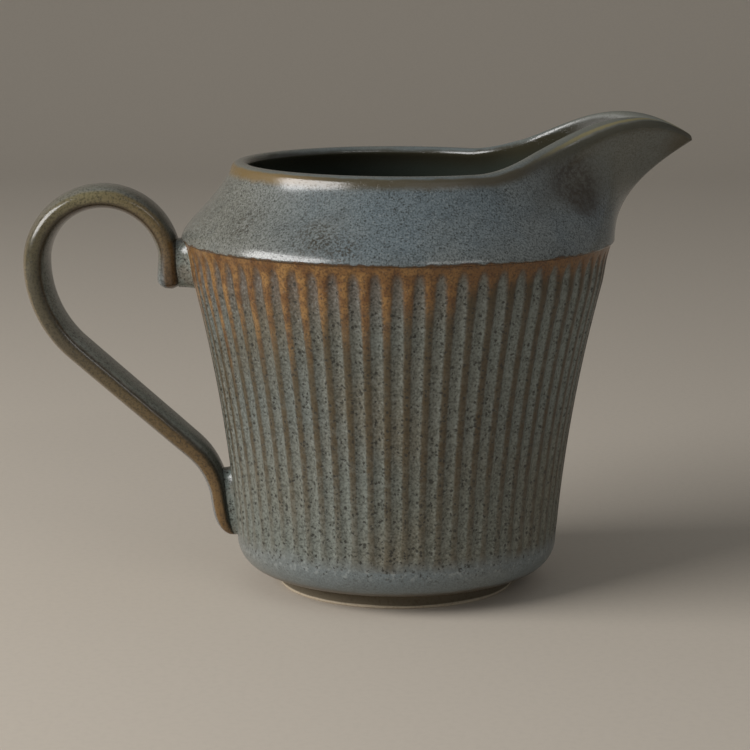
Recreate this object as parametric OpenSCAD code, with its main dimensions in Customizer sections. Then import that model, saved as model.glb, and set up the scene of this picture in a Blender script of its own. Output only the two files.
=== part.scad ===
// Fluted stoneware pitcher: a flared, fluted wall on a rounded dish and foot ring,
// a conical collar with a rolled rim, a beak spout and a looped strap handle.
// Lengths are millimetres. +Z is up, +X points along the spout, and the origin is
// on the axis of the body at the level of the table.

/* [Foot and dish] */
// Outer diameter of the foot ring
foot_d = 66; // [60:1:70]
// Radial width of the foot ring
foot_w = 4.5; // [3:0.5:8]
// Height of the foot ring under the dish
foot_h = 4.8; // [3:0.1:6]
// Bevel on the lower edges of the foot ring
foot_bevel = 0.6; // [0.2:0.1:1]
// Diameter of the flat floor inside the rounded heel
floor_d = 73.6; // [71:0.2:80]
// Outer radius of the heel
heel_r = 8.2; // [6:0.1:11]

/* [Fluted wall] */
// Diameter across the shoulder edge
shoulder_d = 120; // [110:1:130]
// Height of the shoulder edge above the table
shoulder_z = 98; // [85:1:110]
// Radius of the outward flare of the wall, seen from the side
flare_r = 430; // [330:10:700]
// Thickness of the wall, the heel and the floor
wall_t = 4.5; // [3.5:0.1:6]
// Number of flutes around the wall
flute_n = 64; // [48:4:72]
// Diameter of the round tool that cuts a flute
flute_d = 4; // [3.4:0.1:5]
// Depth of a flute at its upper end
flute_top_depth = 1; // [0.6:0.05:1.3]
// Depth of a flute at its lower end
flute_low_depth = 0.6; // [0.3:0.05:1]
// Plain band between the shoulder edge and the flutes
flute_band = 1.6; // [1:0.1:4]
// Plain band between the heel and the flutes
flute_run_out = 0.8; // [0.5:0.1:6]

/* [Collar] */
// Diameter of the rim, measured along its crest
rim_d = 87; // [78:0.2:94]
// Height of the crest of the rim above the table
rim_z = 119; // [114:0.5:126]
// Thickness of the rolled rim
rim_t = 4.4; // [3:0.1:5.4]

/* [Spout] */
// Half angle of the collar that opens into the spout
spout_half_angle = 62; // [54:1:70]
// Half angle at which the beak leaves the circle of the rim
beak_half_angle = 36; // [30:1:42]
// Distance from the axis to the tip of the beak
spout_reach = 81; // [74:0.5:90]
// Distance from the axis to the highest point of the beak
peak_x = 63; // [58:0.5:68]
// Height of the highest point of the beak
peak_z = 132; // [126:0.5:140]
// Drop of the rim from its highest point to the tip
tip_drop = 7; // [3:0.5:10]
// Thickness of the lip along the middle of the beak
beak_t = 7; // [5:0.1:9]
// How far the rim holds its round course before it turns into the beak
throat_lead = 15; // [10:0.5:20]
// Length of the straight flank that ends at the tip
flank_lead = 25; // [18:0.5:32]
// Angle in plan between the flank and the middle of the beak
flank_angle = 44; // [36:1:50]
// Height over which the underside rises straight from the shoulder edge
spring_h = 13; // [9:0.5:16]
// Length over which the underside runs straight to the tip
throw_l = 10; // [7:0.5:13]
// Slope of the underside at the tip
throw_angle = 33; // [20:1:45]

/* [Handle] */
// Radius of the upper loop, along the middle of the strap
loop_r = 18.6; // [16:0.1:22]
// Height of the centre of the upper loop
loop_z = 90.4; // [86:0.1:94]
// Length of the lug that hangs below the loop
lug_len = 8.2; // [5:0.1:10]
// Lean of the lug, which follows the flare of the wall
lug_lean = 5; // [2:0.5:8]
// Radius of the back of the handle below the loop
swing_r = 32; // [24:0.5:42]
// Turn of the back of the handle towards the wall
swing_angle = 49; // [42:0.5:56]
// Radius of the bend that lays the tail on the wall
tail_bend_r = 22; // [14:0.5:30]
// Height of the tip of the tail
tail_z = 12.4; // [9:0.1:20]
// Width of the strap at the lug
lug_w = 15; // [11:0.5:18]
// Thickness of the strap at the lug
lug_t = 6; // [5:0.1:7]
// Width of the strap at the back of the loop
loop_w = 17; // [13:0.5:21]
// Thickness of the strap at the back of the loop
loop_t = 7.2; // [5.5:0.1:9]
// Width of the strap along its lower run
run_w = 15; // [11:0.5:18]
// Thickness of the strap along its lower run
run_t = 6.6; // [5:0.1:8]
// Width of the strap at the tail
tail_w = 12.5; // [10:0.5:16]
// Thickness of the strap at the tail
tail_t = 5.4; // [4:0.1:6.5]

/* [Joins] */
// Clearance in plan between the loop and the shoulder edge
lug_gap = 0.3; // [0.1:0.1:1]
// Clearance between the beds of clay and the crests of the wall
bed_gap = 0.15; // [0.1:0.05:0.4]
// Diameter of the pad of clay behind the lug
upper_pad_d = 12; // [9:0.5:14]
// Thickness of the bed of clay under the tail
tail_bed = 1.5; // [0.8:0.1:2.5]
// Length of the bed of clay under the tail
tail_bed_l = 16; // [11:0.5:19]
// Width of the bed of clay under the tail
tail_bed_w = 10; // [7:0.5:12]

/* [Hidden] */
$fa = 3;
$fs = 0.5;
// Segments of a full turn on the large round pieces
fine = 360;
// Overlap of cutting shapes with what they cut
over = 1;

// Colours of the glazes and of the bare clay
glaze = "#7d8c92";
rib_glaze = "#7f7a62";
iron_glaze = "#6e5a3c";
bare_clay = "#cbbfa9";

floor_r = floor_d / 2;
heel_z = foot_h + heel_r;
heel_top = [floor_r + heel_r, heel_z];
shoulder_r = shoulder_d / 2;
shoulder_top = [shoulder_r, shoulder_z];
lip_r = rim_t / 2;
rim_r = rim_d / 2;
lip_z = rim_z - lip_r;
// How far inside its widest points the round lip takes up the band of the collar
lip_bite = 0.15;

// Centre, on the outer side, of the circle of radius r through a lower and an upper point
function flare_centre(low, high, r) =
    let (d = high - low, l = norm(d))
    (low + high) / 2 + sqrt(r * r - l * l / 4) * [d[1], -d[0]] / l;

function unit(v) = v / norm(v);
function mix(a, b, t) = a + (b - a) * t;
function ease(t) = let (c = max(0, min(1, t))) c * c * (3 - 2 * c);
function polar(r, a) = [r * cos(a), r * sin(a)];
function cubic(p, t) =
    let (s = 1 - t)
    p[0] * s * s * s + 3 * p[1] * s * s * t + 3 * p[2] * s * t * t + p[3] * t * t * t;

flare_c = flare_centre(heel_top, shoulder_top, flare_r);
// Outer radius of the wall at height z
function wall_r(z) = flare_c[0] - sqrt(flare_r * flare_r - pow(z - flare_c[1], 2));

// Solid swept through rings of points, each ring with as many points as the next;
// a loop runs back into its first ring, and an open sweep ends in flat caps
module skin(rings, loop = false) {
    n = len(rings[0]);
    m = len(rings);
    sides = [
        for (i = [0 : loop ? m - 1 : m - 2], j = [0 : n - 1])
        let (k = (j + 1) % n, a = i * n, b = (i + 1) % m * n)
        each [[a + j, a + k, b + k], [a + j, b + k, b + j]]
    ];
    // a cap is a strip between the first and the second half of its ring
    strip = [
        for (j = [0 : ceil(n / 2) - 2])
        let (k = n - 1 - j)
        each k - j > 2 ? [[j, j + 1, k], [j + 1, k - 1, k]] : [[j, j + 1, k]]
    ];
    first_cap = [for (f = strip) [f[2], f[1], f[0]]];
    last_cap = [for (f = strip) f + (m - 1) * n * [1, 1, 1]];
    polyhedron([for (r = rings) each r], loop ? sides : concat(sides, first_cap, last_cap));
}

// Foot ring: a bevelled ring, bare of glaze where it stands
module foot_ring() {
    r = foot_d / 2;
    color(bare_clay)
    rotate_extrude($fn = fine)
    polygon([
        [r - foot_w + foot_bevel, 0],
        [r - foot_bevel, 0],
        [r, foot_bevel],
        [r, foot_h],
        [r - foot_w, foot_h],
        [r - foot_w, foot_bevel]
    ]);
}

// Quarter ring of the heel, from the edge of the floor to the foot of the wall
module heel_section() {
    intersection() {
        translate([floor_r, foot_h - over])
            square([heel_r + over, heel_r + over]);
        translate([floor_r, heel_z])
            difference() {
                circle(heel_r, $fn = fine);
                circle(heel_r - wall_t, $fn = fine);
            }
    }
}

// Flat floor with its rounded heel
module base_dish() {
    color(glaze)
    rotate_extrude($fn = fine) {
        translate([0, foot_h])
            square([floor_r, wall_t]);
        heel_section();
    }
}

// Half width and depth of a flute at height z: a round groove that ends in a ball at top and bottom
flute_r = flute_d / 2;
flute_top = shoulder_z - flute_band;
flute_low = heel_z + flute_run_out;
// Half width of the blunt ends of a flute
flute_nib = 0.25;
// Angle from the middle of a flute to its edge, carried onto the plain bands
flute_edge_a = 0.3 * 360 / flute_n;
function flute_depth(z) = mix(flute_low_depth, flute_top_depth, (z - flute_low) / (flute_top - flute_low));
function flute_reach(d) = sqrt(flute_r * flute_r - pow(flute_r - d, 2));
function flute_cut(z) =
    let (
        d = flute_depth(z),
        reach = flute_reach(d),
        h = max(0, reach - min(z - flute_low, flute_top - z)),
        r = sqrt(flute_r * flute_r - h * h)
    )
    z <= flute_low || z >= flute_top || h >= reach
        ? [flute_nib, 0]
        : [max(flute_nib, sqrt(r * r - pow(flute_r - d, 2))), r - flute_r + d];

// Heights of the rows of points up the outside of the wall
flute_ends = [0, 0.45, 1];
wall_rows = concat(
    [heel_z],
    [for (k = flute_ends) flute_low + k * flute_reach(flute_low_depth)],
    [for (k = [1 : 3]) mix(flute_low, flute_top, k / 4)],
    [for (k = [2 : -1 : 0]) flute_top - flute_ends[k] * flute_reach(flute_top_depth)],
    [shoulder_z]
);
inner_rows = [shoulder_z, (shoulder_z + heel_z) / 2, heel_z];

// Column of points through the wall at place k across flute i, from -2 to 2; the land lies between flutes
function wall_column(i, k) =
    let (a = i * 360 / flute_n)
    concat(
        [
            for (z = wall_rows)
            let (
                cut = flute_cut(z),
                plain = z == heel_z || z == shoulder_z,
                r = wall_r(z) - cut[1] * (1 - k * k / 4),
                turn = plain ? k / 2 * flute_edge_a : k / 2 * cut[0] / r * 180 / PI
            )
            [r * cos(a + turn), r * sin(a + turn), z]
        ],
        [
            for (z = inner_rows)
            let (r = wall_r(z) - wall_t, turn = k / 2 * flute_edge_a)
            [r * cos(a + turn), r * sin(a + turn), z]
        ]
    );

// Flared wall from the heel to the shoulder edge, with its flutes
module fluted_wall() {
    color(rib_glaze)
        skin([for (i = [0 : flute_n - 1], k = [-2 : 2]) wall_column(i, k)], loop = true);
}

// Section of the collar: a sloping band that ends in a round rim
module collar_section() {
    polygon([
        shoulder_top,
        [rim_r + lip_r - lip_bite, lip_z],
        [rim_r - lip_r + lip_bite, lip_z],
        shoulder_top - [wall_t, 0]
    ]);
    translate([rim_r, lip_z])
        circle(lip_r, $fn = 48);
}

// Conical collar, open where the spout takes its place
module collar() {
    color(glaze)
    rotate_extrude(start = spout_half_angle, angle = 360 - 2 * spout_half_angle, $fn = fine)
        collar_section();
}

// Share of the stations of the spout that lie on the beak
beak_u = 0.62;
// Course of one edge of the rim in plan, from the collar (u = 1) to the middle of the beak (u = 0)
function rim_course(r, tip_x, u) =
    u >= beak_u
        ? polar(r, mix(beak_half_angle, spout_half_angle, (u - beak_u) / (1 - beak_u)))
        : let (
            start = polar(r, beak_half_angle),
            lead = start + throat_lead * [sin(beak_half_angle), -cos(beak_half_angle)],
            tip = [tip_x, 0],
            flank = tip + flank_lead * [-cos(flank_angle), sin(flank_angle)]
        )
        cubic([tip, flank, lead, start], u / beak_u);

// Height of the crest of the rim at distance x along the spout
rise_x = rim_r * cos(spout_half_angle);
function crest_z(x) =
    x < peak_x
        ? mix(rim_z, peak_z, ease((x - rise_x) / (peak_x - rise_x)))
        : peak_z - tip_drop * pow((x - peak_x) / (spout_reach - peak_x), 2);

// A point in plan at height z, mirrored in Y for the far side
function at(p, z, side) = [p[0], side * p[1], z];

// Course of a flank from the shoulder edge to the lip: straight at the collar, a scoop under the beak
function flank_curve(low, high, w) =
    let (
        third = (high - low) / 3,
        pull = throw_l * unit([high[0], high[1], norm([high[0], high[1]]) * tan(throw_angle)])
    )
    [low, low + mix(third, [0, 0, spring_h], w), high - mix(third, pull, w), high];

// Steps up a flank, over the lip and along each half of the spout
flank_n = 10;
lip_n = 6;
half_n = 18;
// Ring of the spout at station s, from -1 at one seam to 1 at the other
function spout_ring(s) =
    let (
        u = abs(s),
        side = s < 0 ? -1 : 1,
        w = ease(1 - u),
        out = rim_course(rim_r + lip_r, spout_reach, u),
        in = rim_course(rim_r - lip_r, spout_reach - beak_t, u),
        mid = (out + in) / 2,
        z = crest_z(mid[0]) - lip_r,
        base = u * spout_half_angle,
        outer = flank_curve(at(polar(shoulder_r, base), shoulder_z, side), at(out, z, side), w),
        inner = flank_curve(at(polar(shoulder_r - wall_t, base), shoulder_z, side), at(in, z, side), w)
    )
    concat(
        [for (i = [0 : flank_n]) cubic(outer, i / flank_n)],
        [
            for (i = [1 : lip_n - 1])
            let (a = 180 * i / lip_n)
            at(mid + (out - in) / 2 * cos(a), z + lip_r * sin(a), side)
        ],
        [for (i = [flank_n : -1 : 0]) cubic(inner, i / flank_n)]
    );

// Beak spout, lofted from the shoulder edge to the rim
module spout() {
    color(glaze)
        skin([for (i = [-half_n : half_n]) spout_ring(i / half_n)]);
}

// Points on an arc, in the XZ plane, with its first point left out
function arc(c, r, from, to, n) = [for (i = [1 : n]) c + polar(r, mix(from, to, i / n))];
function line(a, b, n) = [for (i = [1 : n]) mix(a, b, i / n)];

// Middle of the strap: lug, upper loop, back, lower run, bend and tail
lug_x = -(shoulder_r + lug_gap + lug_t / 2);
loop_c = [lug_x - loop_r, loop_z];
lug_top = loop_c + polar(loop_r, lug_lean);
back = loop_c - [loop_r, 0];
swing_c = back + [swing_r, 0];
run_start = swing_c + polar(swing_r, 180 + swing_angle);
run_dir = polar(1, swing_angle - 90);
tail_mid_off = tail_bed + tail_t / 2;
function on_tail(z) = [-(wall_r(z) + tail_mid_off), z];
tail_end = on_tail(tail_z);
tail_dir = unit(tail_end - on_tail(heel_z + tail_bed_l));
// Where the lower run would meet the tail, and the arc that rounds that corner
corner_s = let (d = tail_end - run_start)
    (d[0] * tail_dir[1] - d[1] * tail_dir[0]) / (run_dir[0] * tail_dir[1] - run_dir[1] * tail_dir[0]);
corner = run_start + corner_s * run_dir;
run_a = atan2(run_dir[1], run_dir[0]);
tail_a = atan2(tail_dir[1], tail_dir[0]);
bend_tan = tail_bend_r * tan((run_a - tail_a) / 2);
bend_start = corner - bend_tan * run_dir;
bend_c = bend_start + polar(tail_bend_r, run_a - 90);
// Steps along each stretch of the strap
lug_n = 6;
loop_n = 24;
swing_n = 8;
run_n = 8;
bend_n = 7;
tail_n = 8;
lug_low = lug_top + polar(lug_len, lug_lean - 90);
strap_line = concat(
    [lug_low],
    line(lug_low, lug_top, lug_n),
    arc(loop_c, loop_r, lug_lean, 180, loop_n),
    arc(swing_c, swing_r, 180, 180 + swing_angle, swing_n),
    line(run_start, bend_start, run_n),
    arc(bend_c, tail_bend_r, run_a + 90, tail_a + 90, bend_n),
    line(corner + bend_tan * tail_dir, tail_end, tail_n)
);
strap_last = len(strap_line) - 1;

// Width or thickness of the strap at station i, from its values at the lug, loop, run and tail
back_i = lug_n + loop_n;
run_i = back_i + swing_n + run_n;
tail_i = strap_last - tail_n;
function strap_size(lug, loop, run, tail, i) =
    lookup(i, [[lug_n, lug], [back_i, loop], [run_i, run], [tail_i, tail]]);

// Share of the full strap that is left d stations from an end that rounds off over n stations
end_blunt = 0.35;
function end_round(d, n) = d >= n ? 1 : sqrt(1 - pow(1 - (d + end_blunt) / (n + end_blunt), 2));

// Steps around each edge, reach of the rounding in half thicknesses, and least flat share of the width
edge_n = 5;
edge_reach = 1.4;
least_flat = 0.3;
// Stations over which the lug and the tail round off
lug_round_n = 3;
tail_round_n = 3;
// Ring of the strap at station i: flat faces with rounded edges
function strap_ring(i) =
    let (
        t = unit(strap_line[min(i + 1, strap_last)] - strap_line[max(i - 1, 0)]),
        out = [t[1], -t[0]],
        lug_k = end_round(i, lug_round_n),
        tail_k = end_round(strap_last - i, tail_round_n),
        hw = strap_size(lug_w, loop_w, run_w, tail_w, i) / 2 * lug_k * tail_k,
        ht = strap_size(lug_t, loop_t, run_t, tail_t, i) / 2,
        flat = max(hw - ht * edge_reach, hw * least_flat),
        // distances from the middle to the two faces; a closing end stays on the wall's side
        outer = ht * (2 * tail_k - 1),
        inner = -ht * (2 * lug_k - 1),
        c = (outer + inner) / 2,
        h = (outer - inner) / 2
    )
    [
        for (side = [1, -1], k = [0 : edge_n])
        let (
            a = 180 * k / edge_n - 90,
            y = side * (flat + (hw - flat) * cos(a)),
            q = strap_line[i] + out * (c + side * h * sin(a))
        )
        [q[0], y, q[1]]
    ];

// Looped strap handle
module handle() {
    color(iron_glaze)
        skin([for (i = [0 : strap_last]) strap_ring(i)]);
}

// Cone that lies against the crests of the wall between two heights, with room for the beds of clay
module wall_cone(low, high) {
    low_r = wall_r(low) + bed_gap;
    high_r = wall_r(high) + bed_gap;
    rotate_extrude($fn = fine)
        polygon([[0, low], [low_r, low], [high_r, high], [0, high]]);
}

// Pad of clay that holds the lug to the wall
module upper_join() {
    middle = lug_low + polar(upper_pad_d / 2, lug_lean + 90) + polar(lug_t / 2, lug_lean);
    z = middle[1];
    color(iron_glaze)
    difference() {
        translate([middle[0], 0, z])
            rotate([0, 90 - lug_lean, 0])
            cylinder(d = upper_pad_d, h = upper_pad_d / 2, $fn = 96);
        wall_cone(z - upper_pad_d / 2 - over, z + upper_pad_d / 2 + over);
    }
}

// Bed of clay that holds the tail to the wall
module lower_join() {
    tilt = atan2(tail_dir[0], -tail_dir[1]);
    color(iron_glaze)
    difference() {
        translate([tail_end[0], 0, tail_end[1]])
            rotate([0, -tilt, 0])
            translate([tail_t / 2, -tail_bed_w / 2, over])
            cube([2 * tail_bed, tail_bed_w, tail_bed_l]);
        wall_cone(heel_z, tail_z + tail_bed_l + 2 * over);
    }
}

foot_ring();
base_dish();
fluted_wall();
collar();
spout();
handle();
upper_join();
lower_join();
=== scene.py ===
import math

import bpy
import numpy as np
from mathutils import Matrix, Vector


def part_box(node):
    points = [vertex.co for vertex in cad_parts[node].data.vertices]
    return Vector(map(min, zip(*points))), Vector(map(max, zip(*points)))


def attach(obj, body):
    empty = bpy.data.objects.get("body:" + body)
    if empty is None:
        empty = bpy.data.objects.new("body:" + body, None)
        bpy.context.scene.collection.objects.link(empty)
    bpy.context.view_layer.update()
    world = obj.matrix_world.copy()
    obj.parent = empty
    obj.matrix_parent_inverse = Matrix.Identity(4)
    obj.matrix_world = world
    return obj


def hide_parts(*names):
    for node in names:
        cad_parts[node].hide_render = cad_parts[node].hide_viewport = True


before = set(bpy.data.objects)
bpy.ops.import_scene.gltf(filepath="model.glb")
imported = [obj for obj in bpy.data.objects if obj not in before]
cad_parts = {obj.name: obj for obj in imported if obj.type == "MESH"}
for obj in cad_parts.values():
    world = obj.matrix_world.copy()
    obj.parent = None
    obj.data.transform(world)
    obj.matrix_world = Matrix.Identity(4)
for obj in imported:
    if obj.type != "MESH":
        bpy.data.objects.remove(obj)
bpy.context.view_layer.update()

# Lengths are millimetres, as in the part's source, apart from the lamps'; meshes are made in metres
MM = 0.001


def node_box(node):
    """Lowest and highest corner of a CAD node, in millimetres."""
    low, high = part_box(node)
    return np.array(low) / MM, np.array(high) / MM


# Sizes read from the frame
foot_r, _, foot_h = node_box("foot_ring")[1]
heel_top_r, _, heel_z = node_box("base_dish")[1]
shoulder_r, _, shoulder_z = node_box("fluted_wall")[1]
rim_z = node_box("collar")[1][2]
spout_reach, _, peak_z = node_box("spout")[1]
heel_r = heel_z - foot_h
floor_r = heel_top_r - heel_r

# Wall, flutes and shoulder edge
flare_r = 430.0
wall_t = 4.5
foot_w = 4.5
foot_bevel = 0.4
flutes = 64
flute_top_depth = 0.7
flute_low_depth = 0.4
flute_share = 0.34
flute_band = 1.7
flute_top_len = 4.5
flute_low_len = 4.5
flute_low_power = 1.5
flute_power = 1.25
ridge_crown = 0.08
edge_rise = 4.0
edge_lean = 0.2
edge_nose = 0.75
nose_drop = 0.6
edge_tuck = 0.6
tuck_start = 12.0
tuck_run = 8.0
crown_run = 3.0

# Rim and spout, close to the part's source
rim_r = 43.5
lip_r = 2.2
lip_h = 2.0
beak_lip_h = 2.7
lip_square = 2.3
lip_lean = 0.25
spout_half = math.radians(62)
beak_half = math.radians(36)
beak_share = 0.62
beak_t = 9.2
peak_x = 63.0
tip_drop = 8.0
throat_lead = 15.0
flank_lead = 25.0
flank_angle = math.radians(44)
spring_h = 13.0
throw_l = 10.0
throw_angle = math.radians(33)
side_angle = math.radians(76)
side_share = 0.35
rim_upright = 4.0
rim_fillet = 11.5
least_fillet = 0.6
outer_tip_round = 2.0
inner_tip_round = 2.8

# Handle, close to the part's source
loop_r = 18.6
loop_z = 90.4
lug_len = 8.8
lug_lean = math.radians(5)
lug_gap = 0.3
lug_round = 3.2
lug_swell = 1.3
lug_swell_l = 12.0
swing_r = 32.0
swing_angle = math.radians(49)
tail_bend_r = 22.0
tail_z = 12.4
tail_bed = 1.5
tail_end_bed = 0.5
tail_bed_l = 16.0
tail_round = 9.0
lug_w, lug_t = 15.0, 6.0
loop_w, loop_t = 17.0, 7.2
run_w, run_t = 15.0, 6.6
tail_w, tail_t = 12.5, 5.4
strap_square = 2.5

# Ends of the strap: distance from a closed tip, shares of the width left there, the tail's curve
tip_gap = 0.02
lug_tip_w = 0.25
tail_tip_w = 0.2
tail_power = 2.2

# Steps of the meshes
columns_per_flute = 12
columns = flutes * columns_per_flute
heel_in_steps = 9
wall_in_steps = 14
collar_in_steps = 22
lip_steps = 21
bend_steps = 10
slope_steps = 30
nose_steps = 7
wall_steps = 80
heel_steps = 17
foot_columns = 240
bevel_steps = 6
strap_corners = 64
strap_smooth = 12
join_corners = 48
join_steps = 12


def mix(a, b, t):
    return a + (b - a) * t


def ease(t):
    t = np.clip(t, 0, 1)
    return t * t * (3 - 2 * t)


def unit(v):
    return v / np.linalg.norm(v, axis=-1, keepdims=True)


def cubic(points, t):
    a, b, c, d = points
    s = 1 - t
    return a * s**3 + 3 * b * s * s * t + 3 * c * s * t * t + d * t**3


def quadratic(points, t):
    a, b, c = points
    s = 1 - t
    return a * s * s + 2 * b * s * t + c * t * t


def flare_centre(low, high, radius):
    """Centre, on the outer side, of the circle of that radius through two points."""
    d = high - low
    length = np.linalg.norm(d)
    reach = math.sqrt(radius * radius - length * length / 4)
    return (low + high) / 2 + reach * np.array([d[1], -d[0]]) / length


flare_c = flare_centre(np.array([heel_top_r, heel_z]), np.array([shoulder_r, shoulder_z]), flare_r)


def wall_r(z):
    """Outer radius of the wall at height z."""
    return flare_c[0] - np.sqrt(flare_r**2 - (z - flare_c[1]) ** 2)


# Height at which the collar's nose meets the fluted wall
seam_z = shoulder_z - edge_nose


# Body: a grid of rows and columns, from the middle of the floor up the inside, over the rim and down

turn = (np.arange(columns) + 0.5 - columns / 2) * 2 * math.pi / columns
around = np.stack([np.cos(turn), np.sin(turn)], -1)
side = np.where(turn < 0, -1.0, 1.0)
spout_u = np.minimum(np.abs(turn) / spout_half, 1.0)
spout_w = ease(1 - spout_u)
in_spout = np.abs(turn) < spout_half


def revolved(r, z):
    """Rows of points on the round body; r has one value per row, or one per row and column."""
    r = np.asarray(r, float)
    r = r[:, None] if r.ndim == 1 else r
    z = np.broadcast_to(np.asarray(z, float)[:, None], (len(z), columns))
    return np.stack([r * around[:, 0], r * around[:, 1], z], -1)


def rim_course(r, tip_x, tip_round):
    """Course of one edge of the rim in plan: the circle of the collar, drawn out to the beak."""
    arc_turn = mix(beak_half, spout_half, (spout_u - beak_share) / (1 - beak_share))
    circle = np.where(in_spout, arc_turn, np.abs(turn))
    course = np.stack([r * np.cos(circle), r * np.sin(circle)], -1)
    start = r * np.array([math.cos(beak_half), math.sin(beak_half)])
    lead = start + throat_lead * np.array([math.sin(beak_half), -math.cos(beak_half)])
    tip = np.array([tip_x, 0.0])
    flank = tip + flank_lead * np.array([-math.cos(flank_angle), math.sin(flank_angle)])
    t = (spout_u / beak_share)[:, None]
    beak = cubic([tip, flank, lead, start], t)
    # the point of the beak is rounded off: the course bends over instead of meeting in a corner
    slope = 3 * flank_lead * math.cos(flank_angle)
    reach = tip_round / slope
    soft = np.sqrt(t[:, 0] ** 2 + reach**2) - t[:, 0]
    beak[:, 0] -= slope * (soft - reach) * (1 - ease(t[:, 0]))
    course = np.where((spout_u < beak_share)[:, None], beak, course)
    return course * np.stack([np.ones(columns), side], -1)


def crest_z(x):
    """Height of the crest of the rim at distance x along the spout."""
    rise_x = rim_r * math.cos(spout_half)
    rise = mix(rim_z, peak_z, ease((x - rise_x) / (peak_x - rise_x)))
    fall = peak_z - tip_drop * ((x - peak_x) / (spout_reach - peak_x)) ** 2
    return np.where(in_spout, np.where(x < peak_x, rise, fall), rim_z)


def lifted(plan, z):
    """Points in plan, at a height."""
    return np.concatenate([plan, np.broadcast_to(z, plan.shape[:-1])[..., None]], -1)


def flank_handles(low, high, throw, rise=None):
    """Handles of a flank: straight at the collar unless a rise is given, a scoop under the beak."""
    third = (high - low) / 3
    level = np.linalg.norm(high[:, :2], axis=-1)
    pull = throw_l * unit(lifted(high[:, :2], level * np.tan(throw)))
    spring = np.array([0.0, 0.0, spring_h])
    w = spout_w[:, None]
    start = third if rise is None else rise
    return [low, low + mix(start, spring, w), high - mix(third, pull, w), high]


def rows_of(curve, points, steps):
    """Rows of points along one curve per column."""
    return np.stack([curve(points, t) for t in steps])


lip_out = rim_course(rim_r + lip_r, spout_reach, outer_tip_round)
lip_in = rim_course(rim_r - lip_r, spout_reach - beak_t, inner_tip_round)
lip_mid = (lip_out + lip_in) / 2
lip_top = mix(lip_h, beak_lip_h, spout_w)
lip_z = crest_z(lip_mid[:, 0]) - lip_top

# The outer side of the lip leans out a little around the collar, and not on the spout
lean_out = (lip_lean * (1 - spout_w))[:, None] * around
lip_spread = lean_out * lip_top[:, None]


def inner_rows():
    """Floor, heel and wall of the inside, from the middle of the floor to the shoulder."""
    floor_z = foot_h + wall_t
    flat_r = np.array([0.15, 0.35, 0.6, 0.85]) * floor_r
    arc = np.radians(np.linspace(-90, 0, heel_in_steps))
    heel = (heel_r - wall_t) * np.stack([np.cos(arc), np.sin(arc)])
    wall_z = np.linspace(heel_z, shoulder_z, wall_in_steps)[1:]
    dish = revolved(np.r_[flat_r, floor_r + heel[0]], np.r_[flat_r * 0 + floor_z, heel_z + heel[1]])
    return dish, revolved(wall_r(wall_z) - wall_t, wall_z)


def inner_collar_rows():
    """Inside of the collar and spout, from the shoulder to the lip."""
    low = lifted((shoulder_r - wall_t) * around, shoulder_z)
    # the channel runs out gently along its middle, and its sides drop steeply from the lip
    throw = mix(throw_angle, side_angle, ease(spout_u / side_share))
    path = flank_handles(low, lifted(lip_in, lip_z), throw)
    return rows_of(cubic, path, np.linspace(0, 1, collar_in_steps)[1:])


def lip_rows():
    """Round lip, from its inner to its outer side."""
    arcs = np.radians(np.linspace(180, 0, lip_steps))[1:]
    half = (lip_out - lip_in) / 2
    power = 2 / lip_square
    out = np.sign(np.cos(arcs)) * np.abs(np.cos(arcs)) ** power
    up = np.abs(np.sin(arcs)) ** power
    rows = []
    for a, b in zip(out, up):
        spread = lip_spread * (1 - b if a > 0 else 0.0)
        rows.append(lifted(lip_mid + half * a + spread, lip_z + lip_top * b))
    return np.stack(rows)


def outer_collar_rows():
    """Outside of the collar and spout, from the lip to the shoulder edge and the nose under it."""
    shoulder = lifted(shoulder_r * around, shoulder_z)
    top = lifted(lip_out + lip_spread, lip_z)
    # under the rim the collar curves up into a short, steep band
    corner = lifted(lip_out + lip_spread + lean_out * rim_upright, lip_z - rim_upright * (1 - spout_w))
    # at the edge it stands almost upright and then rolls over into its slope
    rise = edge_rise * unit(lifted(-edge_lean * around, 1.0))
    path = flank_handles(shoulder, corner, throw_angle, rise)
    length = np.linalg.norm(corner - shoulder, axis=-1)
    fillet = np.maximum(rim_fillet * (1 - spout_w), least_fillet)
    bend_t = (1 - fillet / length)[:, None]
    bend_path = [top, corner, cubic(path, bend_t)]
    bend = rows_of(quadratic, bend_path, np.linspace(0, 1, bend_steps)[1:])
    slope = np.stack([cubic(path, bend_t * (1 - k)) for k in np.linspace(0, 1, slope_steps)[1:]])
    # the nose turns under the edge and meets the wall
    below = lifted(shoulder_r * around, shoulder_z - edge_nose * nose_drop)
    wall_top = lifted((wall_r(seam_z) - edge_tuck) * around, seam_z)
    nose = rows_of(quadratic, [shoulder, below, wall_top], np.linspace(0, 1, nose_steps)[1:])
    return np.concatenate([bend, slope, nose])


# Place across a flute, from -0.5 to 0.5, with the middle of the flute at 0
flute_phase = (turn * flutes / (2 * math.pi) + 0.5) % 1 - 0.5
flute_top = shoulder_z - flute_band


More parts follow.
